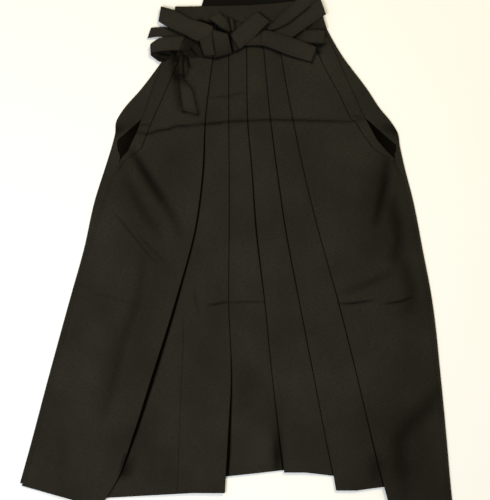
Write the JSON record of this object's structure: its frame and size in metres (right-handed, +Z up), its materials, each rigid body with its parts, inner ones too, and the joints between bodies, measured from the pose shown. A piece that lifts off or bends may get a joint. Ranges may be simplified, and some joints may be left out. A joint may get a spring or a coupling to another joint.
{
  "type": "hakama trousers laid flat",
  "caption": "Pleated divided hakama trousers lying flat, front up, with a stiff back board, a front band, side slits and long ties gathered in a flat crossed bow.",
  "frame": {"origin": "on the table, under the middle of the laid garment's outline", "axes": "+X across the garment to the right as it is seen, +Y up the garment to the waist, +Z up from the table"},
  "size_m": [0.8658, 1.1022, 0.018],
  "materials": {
    "black_cloth": "plain woven black cloth, matt with a faint warm sheen",
    "board_cloth": "smooth black cloth stretched over a stiff board",
    "tie_cloth": "plain woven black cloth, folded in several layers and pressed"
  },
  "bodies": {
    "root": {"back_left": "black_cloth", "back_right": "black_cloth", "front_left": "black_cloth", "front_right": "black_cloth", "front_band": "black_cloth", "back_board": "board_cloth", "tie_left_end": "tie_cloth", "tie_left_loop": "tie_cloth", "tie_left_over": "tie_cloth", "tie_shaded_fold": "tie_cloth", "tie_hanging_end": "tie_cloth", "tie_knot_under": "tie_cloth", "tie_knot_gather": "tie_cloth", "tie_knot_side": "tie_cloth", "tie_knot_wrap": "tie_cloth", "tie_upper_loop": "tie_cloth", "tie_right_loop": "tie_cloth", "tie_free_end": "tie_cloth", "tie_right_upper": "tie_cloth", "tie_right_lower": "tie_cloth", "tie_right_under": "tie_cloth", "tie_right_end": "tie_cloth"}
  },
  "joints": []
}
